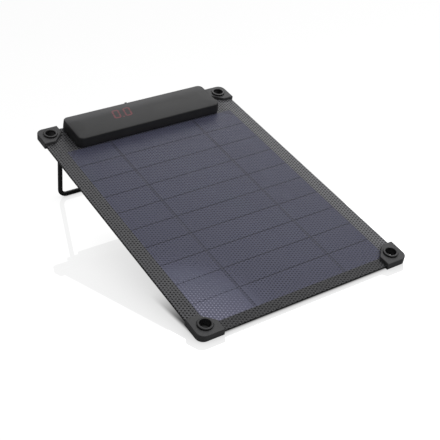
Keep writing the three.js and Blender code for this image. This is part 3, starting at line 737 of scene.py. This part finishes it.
# ---------------------------------------------------------------- port cover, hinge plate, wire
def build_flap(mat):
    fy, fz = 257.1, 4.1
    # outline drawn in x-z about the axis, thickness along y
    plate = prism("port_cover_flap", [(-9.2, 0.0), (11.2, 0.0)] + fillet(10.2, 5.85, 1.0, 0, 90, 6)
                  + fillet(-8.2, 5.85, 1.0, 90, 180, 6), -0.7, 0.7)
    plate.data.transform(Matrix.Translation((0, fy, fz)) @ Matrix.Rotation(math.radians(90), 4, "X"))
    bevel_edges(plate, lambda e: all(v.co.y > fy + 0.6 for v in e.verts) and
                any(v.co.z > fz + 0.3 for v in e.verts), 0.3, 3)
    roll = rod_x("t", fy, fz, 0.7, -9.2, 11.2, 32)
    tab = block("t", -8.2, -6.2, fy + 0.5, fy + 1.5, 8.4, 10.9)
    boolean(tab, [block("t", -8.2, -6.2, fy + 0.9, fy + 2.05, 8.4, 11.5)], "UNION")
    bevel_edges(tab, lambda e: all(v.co.y > fy + 2 for v in e.verts) or
                all(v.co.z > 11.4 for v in e.verts), 0.45, 4)
    plug = block("t", -3.6, 7.6, fy - 1.65, fy - 0.6, 5.9, 9.2)
    bevel_edges(plug, lambda e: all(v.co.y < fy - 1.6 for v in e.verts), 0.35, 3)
    boolean(plate, [roll, tab, plug], "UNION")
    clean(plate)
    return finish_piece(plate, "port_flap", mat, ["port_cover"])


HINGE_Y, HINGE_Z = 247.6, -3.0
REAR_BOTTOM = -6.2
BOSS = ((-52, 230.5), (52, 230.5), (-52, 251), (52, 251))


def build_hinge_plate(mat):
    o = prism("rear_hinge_plate_moulding", loop_rrect(-66, 66, 226, 256, 3, 10), REAR_BOTTOM, 0.95)
    bevel_edges(o, lambda e: all(abs(v.co.z - REAR_BOTTOM) < 1e-4 for v in e.verts), 0.8, 4)
    pocket = prism("t", loop_rrect(-64.2, 64.2, 227.8, 254.2, 2, 8), REAR_BOTTOM + 1.6, 1.5)
    solid = [cyl("t", bx, by, 3.7, REAR_BOTTOM, 2, 32) for bx, by in BOSS]
    solid += [block("t", a, b, HINGE_Y - 4, HINGE_Y + 4, REAR_BOTTOM, 2) for a, b in ((-66, -57), (57, 66))]
    solid += [block("t", rx - 0.6, rx + 0.6, 225, 257, REAR_BOTTOM, 2) for rx in (-30, 0, 30)]
    for tool in solid:
        boolean(pocket, [tool])
    boolean(o, [pocket])
    stop = [(HINGE_Y + 2.18, -0.35), (HINGE_Y + 2.18, HINGE_Z), (HINGE_Y + 2.13, -5.0), (HINGE_Y + 4.6, -5.0),
            (HINGE_Y + 5.8, -3.6), (HINGE_Y + 5.8, -0.35)]
    for a, b in ((-77, -65), (65, 77)):
        boolean(o, [along_x("t", stop, a, b)], "UNION")
    for a, b in ((-67, -56.5), (56.5, 67)):
        boolean(o, [rod_x("t", HINGE_Y, HINGE_Z, 2.06, a, b, 40)])
    # three long shallow grooves in the underside
    for y0 in (233.0, 237.0, 241.0):
        boolean(o, [prism("t", loop_rrect(-44, 44, y0, y0 + 1.6, 0.79, 6), -8, REAR_BOTTOM + 0.4)])
    for bx, by in BOSS:
        boolean(o, [cyl("t", bx, by, 1.5, -8, 2, 32)])
        prof = [(0.05, REAR_BOTTOM - 0.2), (2.9, REAR_BOTTOM - 0.2), (1.45, REAR_BOTTOM + 1.45),
                (0.05, REAR_BOTTOM + 1.45)]
        boolean(o, [turned("t", bx, by, prof, 40)])
    clean(o)
    soft_edges(o, 0.18, 2, 40)
    return finish_piece(o, "panel", mat, ["rear_hinge_plate"])


def build_screw(i, x, y, mat):
    z0 = REAR_BOTTOM
    prof = [(0.001, z0 + 0.08), (2.1, z0 + 0.04), (2.38, z0 + 0.07), (2.5, z0 + 0.17), (1.3, z0 + 1.4), (1.2, z0 + 1.5)]
    # a few turns of thread show only when the cover is off
    z = z0 + 2.0
    while z < 8.6:
        prof += [(1.2, z), (1.24, z + 0.15), (1.2, z + 0.3)]
        z += 0.45
    prof += [(1.2, 8.8), (0.5, 9.4), (0.001, 9.4)]
    o = turned("rear_screw_%d_countersunk" % i, x, y, prof, 40)
    c1 = block("t", x - 1.5, x + 1.5, y - 0.26, y + 0.26, z0 - 1, z0 + 0.75)
    c2 = block("t", x - 0.26, x + 0.26, y - 1.5, y + 1.5, z0 - 1, z0 + 0.75)
    clean(o, 0.005)
    boolean(o, [c1, c2])
    return finish_piece(o, "panel", mat, ["rear_screw_%d" % i], angle=40, weighted=False)


def build_wire(mat):
    R, half, reach, lean = 2.0, 73.9, 55.9, math.atan2(1.35, 55.88)
    down = Vector((0, -math.sin(lean), -math.cos(lean)))
    side = Vector((1, 0, 0))
    normal = side.cross(down).normalized()

    def at(x, q):
        return Vector((x, HINGE_Y, HINGE_Z)) + down * q

    pts = []  # (centre, heading)
    knee, foot, n = 4.5, 6.0, 14
    pts.append((at(-58, 0), -side, 1.0))
    pts.append((at(-66.5, 0), -side, 1.0))
    for k in range(n + 1):
        t = math.pi / 2 * k / n
        pts.append((at(-half + knee - knee * math.sin(t), knee - knee * math.cos(t)),
                    -side * math.cos(t) + down * math.sin(t), 1.0))
    for k in range(1, 8):
        q = knee + (reach - foot - knee) * k / 8
        pts.append((at(-half, q), down.copy(), 1.0))
    for k in range(n + 1):
        t = math.pi / 2 * k / n
        pts.append((at(-half + foot - foot * math.cos(t), reach - foot + foot * math.sin(t)),
                    side * math.sin(t) + down * math.cos(t), 1.0))
    for k in range(1, 16):
        pts.append((at(-half + foot + (half - foot) * k / 16, reach), side.copy(), 1.0))
    mirror = []
    for p, d, s in reversed(pts):
        mirror.append((Vector((-p.x, p.y, p.z)), Vector((d.x, -d.y, -d.z)), s))
    pts.append((at(0, reach), side.copy(), 1.0))
    pts += mirror
    # rounded cut ends
    head = [(pts[0][0] + side * 0.0, pts[0][1], 0.86), (pts[0][0] - side * 0.22, pts[0][1], 1.0)]
    tail = [(pts[-1][0] + side * 0.22, pts[-1][1], 1.0), (pts[-1][0], pts[-1][1], 0.86)]
    pts = head + pts[1:-1] + tail
    bm = bmesh.new()
    m = 28
    rings = []
    for p, d, s in pts:
        d = d.normalized()
        u = normal
        w = d.cross(u).normalized()
        rings.append([bm.verts.new(p + (u * math.cos(2 * math.pi * i / m) + w * math.sin(2 * math.pi * i / m)) * R * s)
                      for i in range(m)])
    for a, b in zip(rings, rings[1:]):
        for i in range(m):
            j = (i + 1) % m
            bm.faces.new((a[i], a[j], b[j], b[i]))
    bm.faces.new(rings[0])
    bm.faces.new(list(reversed(rings[-1])))
    bmesh.ops.recalc_face_normals(bm, faces=bm.faces)
    o = obj_from_bm("stand_wire_bent", bm)
    return finish_piece(o, "stand", mat, ["stand_wire"], weighted=False)


# ---------------------------------------------------------------- build it
build_film()

cell_mat = cell_material()
board_mat = board_material()
guard_mat = moulded("guard_plastic", (0.064, 0.064, 0.066), 0.47, 0.34, wear=0.6)
eyelet_mat = moulded("eyelet_plastic", (0.020, 0.020, 0.021), 0.34, 0.5, grain=0.12, wear=0.4)
rubber_mat = moulded("flap_rubber", (0.022, 0.022, 0.023), 0.62, 0.3, grain=0.3, wear=0.3)
base_mat = moulded("base_plastic", (0.020, 0.020, 0.021), 0.5, 0.4, wear=0.5)
gasket_mat = moulded("gasket_foam", (0.008, 0.008, 0.008), 0.85, 0.15, grain=0.8, grain_scale=1.6, wear=0.0)
wire_mat = moulded("stand_wire_coat", (0.024, 0.024, 0.025), 0.34, 0.45, grain=0.16, grain_scale=1.6, wear=0.0)
screw_mat = metal("screw_steel", (0.07, 0.07, 0.075), 0.36)
chip_mat = moulded("chip_plastic", (0.012, 0.012, 0.013), 0.45, 0.4, grain=0.3, wear=0.2)
pcb_mat = moulded("pcb", (0.01, 0.055, 0.024), 0.35, 0.5, grain=0.15, wear=0.2)
display_mat = moulded("display_body", (0.62, 0.62, 0.60), 0.5, 0.4, wear=0.1)
red_mat = moulded("lead_insulation_red", (0.25, 0.012, 0.012), 0.45, 0.4, wear=0.0)
black_lead_mat = moulded("lead_insulation_black", (0.012, 0.012, 0.012), 0.45, 0.4, wear=0.0)
can_mat = metal("can_metal", (0.72, 0.73, 0.75), 0.3, (1, 1, 6))
socket_mat = metal("socket_metal", (0.62, 0.62, 0.63), 0.28, (6, 1, 1))
ribbon_mat = ribbon_material()
coated_mat = moulded("coated_ribbon", (0.016, 0.016, 0.018), 0.5, 0.15, grain=0.2, vary=0.2, wear=0.0)

build_cover()
for ex, ey in EYELETS:
    sx, sy = (1 if ex > 0 else -1), (-1 if ey < 100 else 1)
    where = ("front" if sy < 0 else "rear") + ("_left" if sx < 0 else "_right")
    build_guard(where, ex, ey, sx, sy, guard_mat)
    build_eyelet(where, ex, ey, eyelet_mat)
build_flap(rubber_mat)
build_hinge_plate(base_mat)
for i, (bx, by) in enumerate(((-52, 230.5), (52, 230.5), (-52, 251), (52, 251))):
    build_screw(i + 1, bx, by, screw_mat)
build_wire(wire_mat)

KEPT = {"backing_board": board_mat, "cross_ribbon_front": coated_mat, "cross_ribbon_rear": coated_mat,
        "return_ribbon": coated_mat, "busbar_ribbon_left": ribbon_mat, "busbar_ribbon_right": ribbon_mat,
        "housing_base": base_mat, "housing_gasket": gasket_mat, "circuit_board": pcb_mat,
        "board_screw_left": screw_mat, "board_screw_right": screw_mat, "digit_display": display_mat,
        "usb_socket_shell": socket_mat, "usb_socket_tongue": chip_mat, "regulator_chip": chip_mat,
        "power_inductor": chip_mat, "input_capacitor": can_mat, "output_capacitor": can_mat,
        "blocking_diode": chip_mat, "lead_positive": red_mat, "lead_negative": black_lead_mat}
for i in range(1, 11):
    KEPT["cell_strip_%02d" % i] = cell_mat
for name, mat in KEPT.items():
    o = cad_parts[name]
    o.data.materials.clear()
    o.data.materials.append(mat)

# ---------------------------------------------------------------- stage
def floor_material():
    """White gloss table: the camera sees it pale with a faint mirror image, and it bounces little light."""
    t = Tree("pale_floor")
    tc = t.node("ShaderNodeTexCoord")
    n = t.noise(tc.outputs["Object"], 3.0, 2.0)
    mirror = t.node("ShaderNodeBsdfGlossy")
    mirror.inputs["Color"].default_value = (STAGE["mirror"],) * 3 + (1,)
    mirror.inputs["Roughness"].default_value = 0.02
    lift = t.node("ShaderNodeEmission")
    lift.inputs[0].default_value = (1, 1, 1, 1)
    # the soft dark where the panel comes down to the table
    ao = t.node("ShaderNodeAmbientOcclusion", samples=24)
    ao.inputs["Distance"].default_value = STAGE["ao_reach"]
    shade = t.math("MULTIPLY", t.math("SUBTRACT", 1.0, ao.outputs["AO"]), STAGE["ao"])
    white = t.math("MULTIPLY", t.lerp(n, 0, 1, STAGE["lift"] - 0.004, STAGE["lift"] + 0.004),
                   t.math("SUBTRACT", 1.0, shade))
    # no light gets in where the panel's front edge meets the table
    p = t.node("ShaderNodeSeparateXYZ")
    t.put(p.inputs[0], tc.outputs["Object"])
    under = t.math("MULTIPLY", t.step(t.math("ABSOLUTE", p.outputs[0]), 0.0905, 0.0865),
                   t.math("MULTIPLY", t.step(p.outputs[1], OFF_Y + 0.0005, OFF_Y + 0.0045),
                          t.step(p.outputs[1], OFF_Y + 0.075, OFF_Y + 0.020)))
    t.put(lift.inputs[1], t.math("MULTIPLY", white, t.lerp(under, 0, 1, 1.0, 0.04)))
    a2 = t.node("ShaderNodeAddShader")
    t.put(a2.inputs[0], mirror.outputs[0])
    t.put(a2.inputs[1], lift.outputs[0])
    bounce = t.node("ShaderNodeBsdfDiffuse")
    bounce.inputs[0].default_value = (STAGE["bounce"],) * 3 + (1,)
    lp = t.node("ShaderNodeLightPath")
    m = t.node("ShaderNodeMixShader")
    t.put(m.inputs[0], lp.outputs["Is Camera Ray"])
    t.put(m.inputs[1], bounce.outputs[0])
    t.put(m.inputs[2], a2.outputs[0])
    return t.done(m.outputs[0])


STAGE = dict(mirror=0.33, lift=0.915, ao=0.41, ao_reach=0.045, bounce=0.36, sky=0.64, dim=0.10, key=3.4, strip=4.2)

bm = bmesh.new()
bmesh.ops.create_grid(bm, x_segments=8, y_segments=8, size=6.0)
floor = obj_from_bm("studio_floor", bm)
floor.data.materials.append(floor_material())

# a big soft tent: bright overhead and behind, dim on the camera's side
world = bpy.data.worlds.new("studio")
bpy.context.scene.world = world
world.use_nodes = True
wt = world.node_tree
wt.nodes.clear()
w_tc = wt.nodes.new("ShaderNodeTexCoord")
w_dot = wt.nodes.new("ShaderNodeVectorMath")
w_dot.operation = "DOT_PRODUCT"
w_dot.inputs[1].default_value = (0.22, -0.05, 0.97)
w_map = wt.nodes.new("ShaderNodeMapRange")
w_map.interpolation_type = "SMOOTHSTEP"
for k, val in enumerate((0.0, 0.05, 0.95, STAGE["dim"], STAGE["sky"])):
    w_map.inputs[k].default_value = val
w_bg = wt.nodes.new("ShaderNodeBackground")
w_bg.inputs[0].default_value = (1, 1, 1, 1)
w_out = wt.nodes.new("ShaderNodeOutputWorld")
wt.links.new(w_tc.outputs["Generated"], w_dot.inputs[0])
wt.links.new(w_dot.outputs["Value"], w_map.inputs[0])
wt.links.new(w_map.outputs[0], w_bg.inputs[1])
# whatever the camera sees past the floor is white
w_lp = wt.nodes.new("ShaderNodeLightPath")
w_white = wt.nodes.new("ShaderNodeBackground")
w_white.inputs[0].default_value = (1, 1, 1, 1)
w_white.inputs[1].default_value = 1.05
w_mix = wt.nodes.new("ShaderNodeMixShader")
wt.links.new(w_lp.outputs["Is Camera Ray"], w_mix.inputs[0])
wt.links.new(w_bg.outputs[0], w_mix.inputs[1])
wt.links.new(w_white.outputs[0], w_mix.inputs[2])
wt.links.new(w_mix.outputs[0], w_out.inputs[0])


def area(name, loc, aim, size, power, size_y=None):
    d = bpy.data.lights.new(name, "AREA")
    d.shape = "RECTANGLE"
    d.size, d.size_y = size, size_y or size
    d.energy = power
    o = bpy.data.objects.new(name, d)
    o.location = loc
    o.rotation_mode = "QUATERNION"
    o.rotation_quaternion = (Vector(aim) - Vector(loc)).to_track_quat("-Z", "Y")
    bpy.context.scene.collection.objects.link(o)
    return o


area("key_softbox", (0.95, 0.85, 1.05), (0, 0, 0), 1.0, STAGE["key"], 0.8)
area("top_softbox", (0.52, -0.45, 1.1), (0, 0, 0), 0.9, STAGE["strip"], 0.6)

cam_data = bpy.data.cameras.new("camera")
cam_data.sensor_width = 36.0
cam_data.lens = 75.91
cam = bpy.data.objects.new("camera", cam_data)
bpy.context.scene.collection.objects.link(cam)
# placed against the panel itself, in its own millimetres
CAM_AT = Vector((-346.3, -329.22, 446.60))
CAM_LOOK = Vector((0.4766, 0.6104, -0.6327)).normalized()
CAM_UP = Vector((0.2733, 0.5812, 0.7666)).normalized()
_right = CAM_LOOK.cross(CAM_UP).normalized()
_up = _right.cross(CAM_LOOK).normalized()
_axes = Matrix((_right, _up, -CAM_LOOK)).transposed()
cam.rotation_mode = "QUATERNION"
cam.location = TO_ROW @ CAM_AT
cam.rotation_quaternion = (PANEL.to_3x3() @ _axes).to_quaternion()
cam_data.clip_start, cam_data.clip_end = 0.01, 50
bpy.context.scene.camera = cam
bpy.context.scene.view_settings.view_transform = "Standard"
bpy.context.scene.view_settings.look = "None"
